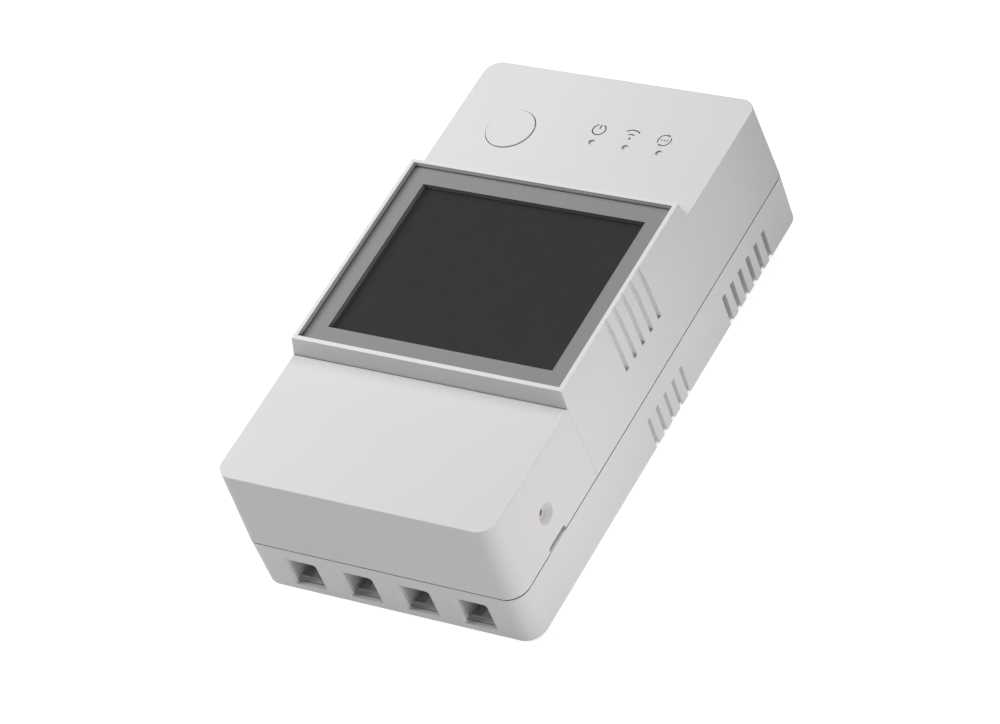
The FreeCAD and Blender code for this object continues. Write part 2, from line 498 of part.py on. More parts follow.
put("pin_header", hdr.cut([box(x - 0.34, x + 0.34, y - 0.34, y + 0.34, 2, 9) for x in (4.0, 6.5) for y in (27.2, 29.7, 32.2)]))
sock = box(2.7, 7.8, 25.9, 33.5, DZ0 - 6.5, DZ0)
put("pin_socket", sock.cut([box(x - 0.34, x + 0.34, y - 0.34, y + 0.34, 2, 30) for x in (4.0, 6.5) for y in (27.2, 29.7, 32.2)]))
holes = [box(x - 0.34, x + 0.34, y - 0.34, y + 0.34, 0, 30) for x in (4.0, 6.5) for y in (27.2, 29.7, 32.2)]
put("main_pcb", OUT["main_pcb"].cut(holes + [box(-16.1, -15.3, 10.1, 11.1, 2, 6), box(-10.7, -9.9, 10.1, 11.1, 2, 6)]))
put("control_pcb", OUT["control_pcb"].cut(holes))

# ---------------------------------------------------------------- export
for name, shape in OUT.items():
    ok = shape.isValid()
    n = len(shape.Solids)
    bb = shape.BoundBox
    print("%-22s solids %2d valid %s vol %9.2f  x %.2f..%.2f y %.2f..%.2f z %.2f..%.2f" %
          (name, n, ok, shape.Volume, bb.XMin, bb.XMax, bb.YMin, bb.YMax, bb.ZMin, bb.ZMax))
    if n == 1 and shape.ShapeType != "Solid":
        shape = shape.Solids[0]
    shape.exportStep("parts/%s.step" % name)
print(len(OUT), "nodes")
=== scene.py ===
import json
import math

import bmesh
import bpy
from mathutils import Matrix, Vector


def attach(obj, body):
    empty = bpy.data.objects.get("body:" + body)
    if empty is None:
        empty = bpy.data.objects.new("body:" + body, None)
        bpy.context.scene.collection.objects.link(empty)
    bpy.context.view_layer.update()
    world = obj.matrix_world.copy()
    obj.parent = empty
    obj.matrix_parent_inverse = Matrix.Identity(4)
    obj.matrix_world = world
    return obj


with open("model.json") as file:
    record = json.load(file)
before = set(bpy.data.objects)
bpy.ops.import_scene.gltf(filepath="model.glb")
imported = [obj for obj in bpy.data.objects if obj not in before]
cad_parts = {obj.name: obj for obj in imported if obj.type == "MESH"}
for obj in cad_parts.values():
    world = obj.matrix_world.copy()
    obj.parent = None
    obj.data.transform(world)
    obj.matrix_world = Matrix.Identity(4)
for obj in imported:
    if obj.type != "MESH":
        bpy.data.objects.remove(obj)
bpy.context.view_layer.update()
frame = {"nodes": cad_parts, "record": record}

MM = 0.001
scene = bpy.context.scene
N = frame["nodes"]

# ------------------------------------------------------------------ sizes (mm)
HP, ZF, ZR, ZG, ZL = 10.4, 26.3, 29.64, 28.73, 27.60


# ------------------------------------------------------------------ materials
def new_mat(name):
    m = bpy.data.materials.new(name)
    m.use_nodes = True
    nt = m.node_tree
    nt.nodes.clear()
    out = nt.nodes.new("ShaderNodeOutputMaterial")
    b = nt.nodes.new("ShaderNodeBsdfPrincipled")
    nt.links.new(b.outputs["BSDF"], out.inputs["Surface"])
    tc = nt.nodes.new("ShaderNodeTexCoord")
    return m, nt, b, tc


def noise(nt, tc, scale, detail=3.0, rough=0.55, coord="Object", stretch=None):
    n = nt.nodes.new("ShaderNodeTexNoise")
    n.inputs["Scale"].default_value = scale
    n.inputs["Detail"].default_value = detail
    n.inputs["Roughness"].default_value = rough
    if stretch:
        mp = nt.nodes.new("ShaderNodeMapping")
        mp.inputs["Scale"].default_value = stretch
        nt.links.new(tc.outputs[coord], mp.inputs["Vector"])
        nt.links.new(mp.outputs["Vector"], n.inputs["Vector"])
    else:
        nt.links.new(tc.outputs[coord], n.inputs["Vector"])
    return n


def ramp(nt, src, stops):
    r = nt.nodes.new("ShaderNodeValToRGB")
    els = r.color_ramp.elements
    while len(els) > len(stops):
        els.remove(els[-1])
    while len(els) < len(stops):
        els.new(0.5)
    for e, (p, c) in zip(els, stops):
        e.position = p
        e.color = c if len(c) == 4 else (*c, 1)
    nt.links.new(src, r.inputs["Fac"])
    return r


def spread(c, k):
    return tuple(min(1.0, max(0.0, v * k)) for v in c)


def maprange(nt, src, lo, hi, a=0.0, b=1.0):
    r = nt.nodes.new("ShaderNodeMapRange")
    r.inputs["From Min"].default_value = a
    r.inputs["From Max"].default_value = b
    r.inputs["To Min"].default_value = lo
    r.inputs["To Max"].default_value = hi
    nt.links.new(src, r.inputs["Value"])
    return r


def add_bump(nt, b, src, strength, dist):
    bp = nt.nodes.new("ShaderNodeBump")
    bp.inputs["Strength"].default_value = strength
    bp.inputs["Distance"].default_value = dist
    nt.links.new(src, bp.inputs["Height"])
    nt.links.new(bp.outputs["Normal"], b.inputs["Normal"])
    return bp


def plastic(name, col, rough=0.5, grain=2600.0, grain_depth=0.000012, mottle=0.02, spec=0.4, bump=0.25):
    """Moulded plastic: fine spark-eroded grain, slight mottling of tone and gloss."""
    m, nt, b, tc = new_mat(name)
    big = noise(nt, tc, 38.0, 2.0)
    cr = ramp(nt, big.outputs["Fac"], [(0.3, spread(col, 1 - mottle)), (0.7, spread(col, 1 + mottle))])
    nt.links.new(cr.outputs["Color"], b.inputs["Base Color"])
    fine = noise(nt, tc, grain, 4.0, 0.6)
    rr = maprange(nt, fine.outputs["Fac"], rough - 0.06, rough + 0.08, 0.3, 0.7)
    nt.links.new(rr.outputs["Result"], b.inputs["Roughness"])
    b.inputs["Specular IOR Level"].default_value = spec
    add_bump(nt, b, fine.outputs["Fac"], bump, grain_depth)
    return m


def metal(name, col, rough=0.32, stretch=(40, 1, 1), scale=900.0, depth=0.000006):
    m, nt, b, tc = new_mat(name)
    n1 = noise(nt, tc, scale, 4.0, 0.6, stretch=stretch)
    n2 = noise(nt, tc, 300.0, 3.0)
    cr = ramp(nt, n2.outputs["Fac"], [(0.3, spread(col, 0.9)), (0.72, spread(col, 1.06))])
    nt.links.new(cr.outputs["Color"], b.inputs["Base Color"])
    rr = maprange(nt, n1.outputs["Fac"], rough - 0.08, rough + 0.12, 0.25, 0.75)
    nt.links.new(rr.outputs["Result"], b.inputs["Roughness"])
    b.inputs["Metallic"].default_value = 1.0
    add_bump(nt, b, n1.outputs["Fac"], 0.2, depth)
    return m


def mix_by(nt, fac, a, b):
    """Colour mix of two sources (socket or colour) by a factor socket."""
    mx = nt.nodes.new("ShaderNodeMix")
    mx.data_type = "RGBA"
    nt.links.new(fac, mx.inputs["Factor"])
    for key, v in (("A", a), ("B", b)):
        if isinstance(v, tuple):
            mx.inputs[key].default_value = (*v, 1)
        else:
            nt.links.new(v, mx.inputs[key])
    return mx.outputs["Result"]


def step(nt, src, lo, hi):
    """0 below lo, 1 above hi, straight in between."""
    r = nt.nodes.new("ShaderNodeMapRange")
    r.inputs["From Min"].default_value = lo
    r.inputs["From Max"].default_value = hi
    nt.links.new(src, r.inputs["Value"])
    return r.outputs["Result"]


def math_node(nt, op, a, b=None, c=None):
    n = nt.nodes.new("ShaderNodeMath")
    n.operation = op
    for i, v in enumerate((a, b, c)):
        if v is None:
            continue
        if isinstance(v, (int, float)):
            n.inputs[i].default_value = v
        else:
            nt.links.new(v, n.inputs[i])
    return n.outputs["Value"]


def band(nt, limits):
    """1 where every value lies between its two limits, else 0."""
    out = None
    for src, lo, hi in limits:
        t = math_node(nt, "MULTIPLY", math_node(nt, "GREATER_THAN", src, lo), math_node(nt, "LESS_THAN", src, hi))
        out = t if out is None else math_node(nt, "MULTIPLY", out, t)
    return out


def cut_depth(nt, ax, ay):
    """Below 0 a little inside the outline at the parting line."""
    return math_node(nt, "MAXIMUM", math_node(nt, "SUBTRACT", ax, 0.02692), math_node(nt, "SUBTRACT", ay, 0.04892))


WHITE = (0.460, 0.457, 0.461)


def housing_mat():
    """Moulded white plastic with a fine grain. The rim's top is a little lighter, a painted
    highlight; the walls inside the rim carry painted shade, lighter where they face -Y."""
    m, nt, b, tc = new_mat("housing_white")
    big = noise(nt, tc, 38.0, 2.0)
    cr = ramp(nt, big.outputs["Fac"], [(0.3, spread(WHITE, 0.994)), (0.7, spread(WHITE, 1.006))])
    # painted highlight: the rim's top is made a little lighter
    top = ramp(nt, big.outputs["Fac"], [(0.3, spread(WHITE, 1.08)), (0.7, spread(WHITE, 1.10))])
    sep = nt.nodes.new("ShaderNodeSeparateXYZ")
    nt.links.new(tc.outputs["Object"], sep.inputs["Vector"])
    # the rim's inner wall, from the grey frame up, as painted shade and light: a dark painted shade line at the foot, a
    # light band, a darker painted shade near the rim's edge
    up = step(nt, sep.outputs["Z"], 0.02873, 0.02964)
    # painted shade: the shaded copy of the plastic for the rim's inner walls
    low = ramp(nt, up, [(0.0, spread(WHITE, 0.30)), (0.10, spread(WHITE, 0.34)), (0.26, spread(WHITE, 0.62)),
                        (0.66, spread(WHITE, 0.66)), (0.84, spread(WHITE, 0.50)), (0.94, spread(WHITE, 0.46))])
    # painted light: the lit copy of the plastic for the inner walls facing -Y
    far = ramp(nt, up, [(0.0, spread(WHITE, 0.52)), (0.10, spread(WHITE, 0.58)), (0.26, spread(WHITE, 1.10)),
                        (0.66, spread(WHITE, 1.22)), (0.84, spread(WHITE, 0.92)), (0.94, spread(WHITE, 0.84))])
    geo = nt.nodes.new("ShaderNodeNewGeometry")
    gsep = nt.nodes.new("ShaderNodeSeparateXYZ")
    nt.links.new(geo.outputs["Normal"], gsep.inputs["Vector"])
    # walls facing -Y take the lit copy, the other walls the shaded copy: painted light and shade by direction
    facing_entries = math_node(nt, "LESS_THAN", gsep.outputs["Y"], -0.9)
    low = mix_by(nt, facing_entries, low.outputs["Color"], far.outputs["Color"])
    on_top = step(nt, sep.outputs["Z"], 0.02950, 0.02960)
    ax = math_node(nt, "ABSOLUTE", sep.outputs["X"])
    ay = math_node(nt, "ABSOLUTE", sep.outputs["Y"])
    inside = math_node(nt, "MULTIPLY", math_node(nt, "LESS_THAN", ax, 0.02525), math_node(nt, "LESS_THAN", ay, 0.02026))
    inside = math_node(nt, "MULTIPLY", inside, math_node(nt, "GREATER_THAN", sep.outputs["Z"], 0.0271))
    c = mix_by(nt, on_top, cr.outputs["Color"], top.outputs["Color"])
    c = mix_by(nt, inside, c, low)
    # inside the flank grooves and the pocket and notch of the cover the walls are painted
    # lighter and the floors facing out darker, as painted light and painted shade
    z, y = sep.outputs["Z"], sep.outputs["Y"]
    low_face = math_node(nt, "MULTIPLY_ADD", z, -0.0327, 0.02730)
    high_face = math_node(nt, "MULTIPLY_ADD", z, -0.1467, 0.03029)
    face = math_node(nt, "MINIMUM", low_face, high_face)
    sunk = math_node(nt, "LESS_THAN", ax, face)
    facing_out = math_node(nt, "GREATER_THAN", math_node(nt, "ABSOLUTE", gsep.outputs["X"]), 0.9)
    vents = band(nt, [(y, -0.0064, 0.0066), (z, 0.0150, 0.02953), (ax, 0.0252, 0.0300)])
    cover_cuts = band(nt, [(y, -0.0386, -0.0327), (z, 0.0103, 0.0193), (ax, 0.0252, 0.0300)])
    light = ramp(nt, big.outputs["Fac"], [(0.3, spread(WHITE, 1.66)), (0.7, spread(WHITE, 1.70))])
    painted_groove_floor_shade = ramp(nt, big.outputs["Fac"], [(0.3, spread(WHITE, 0.93)), (0.7, spread(WHITE, 0.95))])
    groove = mix_by(nt, facing_out, light.outputs["Color"], painted_groove_floor_shade.outputs["Color"])
    c = mix_by(nt, math_node(nt, "MULTIPLY", sunk, vents), c, groove)
    painted_pocket_wall_light = ramp(nt, big.outputs["Fac"], [(0.3, spread(WHITE, 1.04)), (0.7, spread(WHITE, 1.08))])
    painted_pocket_floor_shade = ramp(nt, big.outputs["Fac"], [(0.3, spread(WHITE, 0.88)), (0.7, spread(WHITE, 0.90))])
    pocket = mix_by(nt, facing_out, painted_pocket_wall_light.outputs["Color"], painted_pocket_floor_shade.outputs["Color"])
    c = mix_by(nt, math_node(nt, "MULTIPLY", sunk, cover_cuts), c, pocket)
    painted_ledge_light = ramp(nt, big.outputs["Fac"], [(0.3, spread(WHITE, 1.72)), (0.7, spread(WHITE, 1.76))])
    # the ledge under the pry notch, the sills of the wire mouths, and the front of
    # the display block are painted lighter: painted light in place of their shade
    facing_up = math_node(nt, "GREATER_THAN", gsep.outputs["Z"], 0.95)
    sill = math_node(nt, "MULTIPLY", facing_up, band(nt, [(y, -0.0489, -0.0479), (z, 0.00125, 0.00135)]))
    # painted light: a lighter copy of the plastic for the sills, also used below for the vent rows and the front
    painted_light_tone = ramp(nt, big.outputs["Fac"], [(0.3, spread(WHITE, 1.20)), (0.7, spread(WHITE, 1.22))])
    c = mix_by(nt, sill, c, painted_light_tone.outputs["Color"])
    block_front = math_node(nt, "MULTIPLY", facing_entries, band(nt, [(y, -0.0220, -0.0209), (z, 0.0263, 0.0295)]))
    # painted light on the front of the display block
    painted_block_front_light = ramp(nt, big.outputs["Fac"], [(0.3, spread(WHITE, 1.085)), (0.7, spread(WHITE, 1.10))])
    c = mix_by(nt, block_front, c, painted_block_front_light.outputs["Color"])
    # painted shade: the shut line at the parting line is painted dark
    notch = band(nt, [(y, -0.0384, -0.0329), (ax, 0.0250, 0.0272)])
    gap = math_node(nt, "SUBTRACT", band(nt, [(z, (HP - 0.125) * MM, (HP + 0.125) * MM)]), notch)
    painted_seam_shade = ramp(nt, big.outputs["Fac"], [(0.3, spread(WHITE, 0.40)), (0.7, spread(WHITE, 0.46))])
    c = mix_by(nt, math_node(nt, "MULTIPLY", gap, math_node(nt, "LESS_THAN", cut_depth(nt, ax, math_node(nt, "ABSOLUTE", y)), 0.0)), c, painted_seam_shade.outputs["Color"])
    # painted light: the walls of the vents that wrap round the lower edge are made lighter
    sideways = math_node(nt, "GREATER_THAN", math_node(nt, "ABSOLUTE", gsep.outputs["Y"]), 0.9)
    near_row = band(nt, [(y, -0.0064, 0.0066), (z, -0.001, 0.00635), (ax, 0.02590, 0.0272)])
    far_row = band(nt, [(y, 0.0216, 0.0385), (z, -0.001, 0.00640), (ax, 0.0240, 0.0272)])
    pale = ramp(nt, big.outputs["Fac"], [(0.3, spread(WHITE, 1.54)), (0.7, spread(WHITE, 1.58))])
    painted_far_vent_wall_light = ramp(nt, big.outputs["Fac"], [(0.3, spread(WHITE, 1.36)), (0.7, spread(WHITE, 1.40))])
    near = math_node(nt, "MULTIPLY", sideways, near_row)
    c = mix_by(nt, near, c, pale.outputs["Color"])
    c = mix_by(nt, math_node(nt, "MULTIPLY", sideways, far_row), c, painted_far_vent_wall_light.outputs["Color"])
    # painted light: a little whiter between the rows of vents and on the button's end of the front, growing towards -X
    between = math_node(nt, "MULTIPLY", step(nt, y, -0.003, 0.012), step(nt, y, 0.042, 0.028))
    between = math_node(nt, "MULTIPLY", between, math_node(nt, "MULTIPLY", facing_out, band(nt, [(z, -0.001, 0.0104), (ax, 0.0262, 0.0272)])))
    front = math_node(nt, "MULTIPLY", facing_up, band(nt, [(y, 0.0212, 0.0492), (z, 0.0262, 0.0266)]))
    front = math_node(nt, "MULTIPLY", front, step(nt, sep.outputs["X"], 0.022, -0.010))
    painted_light_amount = math_node(nt, "ADD", math_node(nt, "MULTIPLY", between, 0.32), math_node(nt, "MULTIPLY", front, 0.22))
    c = mix_by(nt, painted_light_amount, c, painted_light_tone.outputs["Color"])
    # painted shade: slightly darker at three rounded corners, the +Y end of the flanks, the end face and the foot of
    # the vent walls
    zero = (0.0, 0.0, 0.0)

    def swell(t, k):
        rise = math_node(nt, "MINIMUM", math_node(nt, "MULTIPLY", t, 1.82), math_node(nt, "MULTIPLY_ADD", t, -2.2, 2.2))
        return math_node(nt, "MULTIPLY", math_node(nt, "MAXIMUM", rise, 0.0), k)

    x = sep.outputs["X"]
    back_corners = math_node(nt, "MULTIPLY", swell(gsep.outputs["Y"], 0.17), band(nt, [(ax, 0.0230, 0.0272), (y, 0.0450, 0.0492)]))
    left_corner = math_node(nt, "MULTIPLY", swell(math_node(nt, "MULTIPLY", gsep.outputs["X"], -1.0), 0.17), band(nt, [(x, -0.0272, -0.0230), (y, -0.0492, -0.0450)]))
    flank = math_node(nt, "MULTIPLY", facing_out, math_node(nt, "GREATER_THAN", z, 0.0104))
    flank = math_node(nt, "MULTIPLY", flank, math_node(nt, "MULTIPLY", step(nt, y, 0.034, 0.047), 0.115))
    face_end = math_node(nt, "MULTIPLY", facing_entries, band(nt, [(y, -0.0492, -0.0480), (z, 0.0104, 0.0263)]))
    face_end = math_node(nt, "MULTIPLY", face_end, math_node(nt, "MULTIPLY", step(nt, x, 0.015, -0.027), 0.06))
    vent_foot = math_node(nt, "MULTIPLY", math_node(nt, "MULTIPLY", sideways, math_node(nt, "MAXIMUM", near_row, far_row)), step(nt, z, 0.0016, 0.0002))
    painted_shade_amount = math_node(nt, "ADD", math_node(nt, "ADD", back_corners, left_corner), math_node(nt, "ADD", flank, face_end))
    painted_shade_amount = math_node(nt, "ADD", painted_shade_amount, math_node(nt, "MULTIPLY", vent_foot, 0.06))
    c = mix_by(nt, painted_shade_amount, c, zero)
    # painted light: the ledge under the pry notch is made much lighter than the plastic round it
    ledge = math_node(nt, "MULTIPLY", facing_up, band(nt, [(y, -0.0384, -0.0329), (z, 0.01024, 0.01034), (ax, 0.0262, 0.0272)]))
    c = mix_by(nt, ledge, c, painted_ledge_light.outputs["Color"])
    nt.links.new(c, b.inputs["Base Color"])
    fine = noise(nt, tc, 2600.0, 4.0, 0.6)
    rr = maprange(nt, fine.outputs["Fac"], 0.46, 0.60, 0.3, 0.7)
    nt.links.new(rr.outputs["Result"], b.inputs["Roughness"])
    b.inputs["Specular IOR Level"].default_value = 0.3
    add_bump(nt, b, fine.outputs["Fac"], 0.16, 0.000012)
    return m


M = {}
M["housing_white"] = housing_mat()
M["frame_white"] = plastic("frame_white", (0.72, 0.72, 0.71), rough=0.55)
M["light_guide"] = plastic("light_guide", (0.46, 0.46, 0.462), rough=0.34, mottle=0.01)
M["lcd_glass"] = plastic("lcd_glass", (0.02, 0.024, 0.03), rough=0.15, mottle=0.05)
M["black_plastic"] = plastic("black_plastic", (0.022, 0.022, 0.024), rough=0.55, mottle=0.08)
M["relay_plastic"] = plastic("relay_plastic", (0.018, 0.02, 0.026), rough=0.4, mottle=0.08)
M["led_resin"] = plastic("led_resin", (0.75, 0.76, 0.62), rough=0.2, mottle=0.02)
M["screw_steel"] = metal("screw_steel", (0.55, 0.55, 0.57), rough=0.3, stretch=(1, 1, 30))
M["clamp_steel"] = metal("clamp_steel", (0.60, 0.60, 0.61), rough=0.38)
M["contact_brass"] = metal("contact_brass", (0.62, 0.45, 0.18), rough=0.3)
M["copper_winding"] = metal("copper_winding", (0.55, 0.2, 0.07), rough=0.28, stretch=(120, 1, 1))
M["relay_iron"] = metal("relay_iron", (0.42, 0.42, 0.43), rough=0.35)
M["shunt_alloy"] = metal("shunt_alloy", (0.42, 0.33, 0.26), rough=0.4)
M["shield_steel"] = metal("shield_steel", (0.6, 0.6, 0.6), rough=0.3, stretch=(1, 30, 1))
M["ferrite"] = plastic("ferrite", (0.05, 0.05, 0.054), rough=0.6, mottle=0.15)
M["tape_yellow"] = plastic("tape_yellow", (0.64, 0.42, 0.02), rough=0.3, mottle=0.06)
M["capacitor_can"] = plastic("capacitor_can", (0.02, 0.028, 0.06), rough=0.25, mottle=0.05)
M["film_yellow"] = plastic("film_yellow", (0.62, 0.38, 0.02), rough=0.35, mottle=0.05)
M["varistor_blue"] = plastic("varistor_blue", (0.02, 0.06, 0.28), rough=0.25, mottle=0.08)
M["fuse_ceramic"] = plastic("fuse_ceramic", (0.66, 0.65, 0.6), rough=0.3, mottle=0.03)


def terminal_mat():
    """Moulded terminal plastic with a satin grain; the lead-in ledges of the wire
    tunnels grade from darker to lighter inward and the block above is darker, as painted light and shade."""
    m, nt, b, tc = new_mat("terminal_plastic")
    col = (0.62, 0.62, 0.624)
    big = noise(nt, tc, 60.0, 2.0)
    cr = ramp(nt, big.outputs["Fac"], [(0.3, spread(col, 0.985)), (0.7, spread(col, 1.015))])
    sep = nt.nodes.new("ShaderNodeSeparateXYZ")
    nt.links.new(tc.outputs["Object"], sep.inputs["Vector"])
    # painted light and shade: along the lead-in ledge the colour grades from darker at the mouth to lighter inward
    along = step(nt, sep.outputs["Y"], -0.04795, -0.04702)
    ledge = ramp(nt, along, [(0.0, spread(col, 0.76)), (0.5, spread(col, 1.00)), (1.0, spread(col, 1.46))])
    on = band(nt, [(sep.outputs["Y"], -0.0481, -0.04700), (sep.outputs["Z"], 0.0012, 0.00155)])
    # painted shade: the block above its wire tunnels is darker
    block = ramp(nt, big.outputs["Fac"], [(0.3, spread(col, 0.66)), (0.7, spread(col, 0.69))])
    c = mix_by(nt, step(nt, sep.outputs["Z"], 0.0082, 0.0098), cr.outputs["Color"], block.outputs["Color"])
    nt.links.new(mix_by(nt, on, c, ledge.outputs["Color"]), b.inputs["Base Color"])
    fine = noise(nt, tc, 2400.0, 4.0, 0.6)
    rr = maprange(nt, fine.outputs["Fac"], 0.44, 0.58, 0.3, 0.7)
    nt.links.new(rr.outputs["Result"], b.inputs["Roughness"])
    add_bump(nt, b, fine.outputs["Fac"], 0.2, 0.000012)
    return m


def bezel_mat():
    """Matt grey paint with a fine fleck. The cut walls below the face are darker, with painted shade at their foot and
    near the face.
    """
    m, nt, b, tc = new_mat("bezel_grey")
    fleck = noise(nt, tc, 5200.0, 2.0, 0.6)
    face = ramp(nt, fleck.outputs["Fac"], [(0.30, (0.159, 0.159, 0.160)), (0.70, (0.178, 0.178, 0.179))])
    sep = nt.nodes.new("ShaderNodeSeparateXYZ")
    nt.links.new(tc.outputs["Object"], sep.inputs["Vector"])
    wall = nt.nodes.new("ShaderNodeMath")
    wall.operation = "LESS_THAN"
    wall.inputs[1].default_value = (ZG - 0.075) * MM
    nt.links.new(sep.outputs["Z"], wall.inputs[0])
    # painted shade on the cut walls: darkest at the foot by the lens, lighter in the middle, darker again near the face
    up = step(nt, sep.outputs["Z"], ZL * MM, ZG * MM)
    side = ramp(nt, up, [(0.0, (0.035, 0.035, 0.036)), (0.16, (0.055, 0.055, 0.056)), (0.30, (0.122, 0.122, 0.124)),
                         (0.72, (0.118, 0.118, 0.120)), (0.86, (0.080, 0.080, 0.082))])
    nt.links.new(mix_by(nt, wall.outputs["Value"], face.outputs["Color"], side.outputs["Color"]), b.inputs["Base Color"])
    rr = maprange(nt, fleck.outputs["Fac"], 0.52, 0.66, 0.3, 0.7)
    nt.links.new(rr.outputs["Result"], b.inputs["Roughness"])
    b.inputs["Specular IOR Level"].default_value = 0.3
    add_bump(nt, b, fleck.outputs["Fac"], 0.15, 0.000008)
    return m


def lens_mat():
    """Smoked panel: near black, even gloss with a faint orange peel and a faint painted glow."""
    m, nt, b, tc = new_mat("lens_black")
    peel = noise(nt, tc, 420.0, 2.0, 0.5)
    cr = ramp(nt, peel.outputs["Fac"], [(0.3, (0.0115, 0.0115, 0.012)), (0.7, (0.0125, 0.0125, 0.013))])
    nt.links.new(cr.outputs["Color"], b.inputs["Base Color"])
    rr = maprange(nt, peel.outputs["Fac"], 0.33, 0.38, 0.3, 0.7)
    # painted light: a faint emission makes the panel glow evenly, though it is no lamp
    b.inputs["Emission Color"].default_value = (1.0, 1.0, 1.02, 1)
    b.inputs["Emission Strength"].default_value = 0.0165
    nt.links.new(rr.outputs["Result"], b.inputs["Roughness"])
    b.inputs["Specular IOR Level"].default_value = 0.1
    add_bump(nt, b, peel.outputs["Fac"], 0.04, 0.00001)
    return m


def board_mat(name, col):
    """Solder mask over copper: tracks as a raised, slightly lighter grid of cells."""
    m, nt, b, tc = new_mat(name)
    mp = nt.nodes.new("ShaderNodeMapping")
    mp.inputs["Scale"].default_value = (1, 1, 0.02)
    nt.links.new(tc.outputs["Object"], mp.inputs["Vector"])
    vo = nt.nodes.new("ShaderNodeTexVoronoi")
    vo.distance = "MANHATTAN"
    vo.feature = "F1"
    vo.inputs["Scale"].default_value = 240.0
    nt.links.new(mp.outputs["Vector"], vo.inputs["Vector"])
    tr = ramp(nt, vo.outputs["Distance"], [(0.42, (0, 0, 0)), (0.47, (1, 1, 1))])
    mix = nt.nodes.new("ShaderNodeMix")
    mix.data_type = "RGBA"
    nt.links.new(tr.outputs["Color"], mix.inputs["Factor"])
    mix.inputs["A"].default_value = (*spread(col, 1.0), 1)
    mix.inputs["B"].default_value = (*spread(col, 1.7), 1)
    nt.links.new(mix.outputs["Result"], b.inputs["Base Color"])
    fine = noise(nt, tc, 900.0)
    rr = maprange(nt, fine.outputs["Fac"], 0.26, 0.38, 0.3, 0.7)
    nt.links.new(rr.outputs["Result"], b.inputs["Roughness"])
    add_bump(nt, b, tr.outputs["Color"], 0.3, 0.00002)
    return m


M["bezel_grey"] = bezel_mat()
M["terminal_plastic"] = terminal_mat()
M["lens_black"] = lens_mat()
M["board_green"] = board_mat("board_green", (0.012, 0.095, 0.035))
M["board_black"] = board_mat("board_black", (0.012, 0.016, 0.03))
M["ink_grey"] = plastic("ink_grey", (0.062, 0.062, 0.065), rough=0.6, mottle=0.05)

M["solder_tin"] = metal("solder_tin", (0.56, 0.56, 0.57), rough=0.3, stretch=(1, 1, 1), scale=700.0, depth=0.00003)
M["chip_ceramic"] = plastic("chip_ceramic", (0.42, 0.33, 0.22), rough=0.45, mottle=0.06)
M["label_film"] = plastic("label_film", (0.58, 0.58, 0.585), rough=0.3, grain=1400.0, grain_depth=0.000006, mottle=0.015)

slot_of = {s["node"]: s["material_slot"] for s in frame["record"]["subparts"]}
for name, ob in N.items():
    mat = M[slot_of[name]]
    ob.data.materials.clear()
    ob.data.materials.append(mat)


# ------------------------------------------------------------------ mesh helpers
def obj_from(name, verts, faces, mat, body, slot, smooth=False):
    me = bpy.data.meshes.new(name)
    me.from_pydata([tuple(c * MM for c in v) for v in verts], [], faces)
    me.validate()
    me.update()
    ob = bpy.data.objects.new(name, me)
    scene.collection.objects.link(ob)
    bm = bmesh.new()
    bm.from_mesh(me)
    bmesh.ops.recalc_face_normals(bm, faces=bm.faces)
    bm.to_mesh(me)
    bm.free()
    if smooth:
        for p in me.polygons:
            p.use_smooth = True
    me.materials.append(M[mat])
    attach(ob, body)
    return ob


def strip(path, width, z0, z1, closed=False):
    """Verts and faces of a flat band of that width along a path of XY points."""
    n = len(path)
    left, right = [], []
    for i, (x, y) in enumerate(path):
        if closed:
            a, b = path[i - 1], path[(i + 1) % n]
        else:
            a, b = path[max(0, i - 1)], path[min(n - 1, i + 1)]
        dx, dy = b[0] - a[0], b[1] - a[1]
        L = math.hypot(dx, dy) or 1.0
        nx, ny = -dy / L * width / 2, dx / L * width / 2
        left.append((x + nx, y + ny))
        right.append((x - nx, y - ny))
    v = []
    for z in (z0, z1):
        v += [(x, y, z) for x, y in left] + [(x, y, z) for x, y in right]
    f = []
    m = n if closed else n - 1
    for i in range(m):
        j = (i + 1) % n
        a, b, c, d = i, j, n + j, n + i
        f.append((a, b, c, d))
        f.append((2 * n + a, 2 * n + d, 2 * n + c, 2 * n + b))
        f.append((a, 2 * n + a, 2 * n + b, b))
        f.append((d, c, 2 * n + c, 2 * n + d))
    if not closed:
        f.append((0, n, 3 * n, 2 * n))
        e = n - 1
        f.append((e, 2 * n + e, 3 * n + e, n + e))
    return v, f


def merge(parts):
    V, F = [], []
    for v, f in parts:
        o = len(V)
        V += v
        F += [tuple(i + o for i in q) for q in f]
    return V, F


def arc(cx, cy, r, a0, a1, n=28):
    return [(cx + r * math.cos(math.radians(a0 + (a1 - a0) * i / n)), cy + r * math.sin(math.radians(a0 + (a1 - a0) * i / n))) for i in range(n + 1)]


def disc(cx, cy, r, z0, z1, n=24):
    v = [(cx + r * math.cos(2 * math.pi * i / n), cy + r * math.sin(2 * math.pi * i / n), z) for z in (z0, z1) for i in range(n)]
    f = [tuple(range(n)), tuple(range(2 * n - 1, n - 1, -1))]
    f += [(i, n + i, n + (i + 1) % n, (i + 1) % n) for i in range(n)]
    return v, f


def tri(p, z0, z1):
    v = [(x, y, z) for z in (z0, z1) for x, y in p]
    n = len(p)
    return v, [tuple(range(n)), tuple(range(2 * n - 1, n - 1, -1))] + [(i, n + i, n + (i + 1) % n, (i + 1) % n) for i in range(n)]


# ------------------------------------------------------------------ printed symbols on the front face
Z0, Z1 = ZF - 0.01, ZF + 0.012
W = 0.25
cx, cy, r = 1.58, 36.74, 1.19
power = [strip(arc(cx, cy, r, 65 + 360, 115, 44), W, Z0, Z1), strip([(cx + 0.03, 37.88), (cx + 0.03, 37.4), (cx + 0.03, 36.90)], W, Z0, Z1)]
obj_from("symbol_power", *merge(power), "ink_grey", "housing", "bezel_grey")

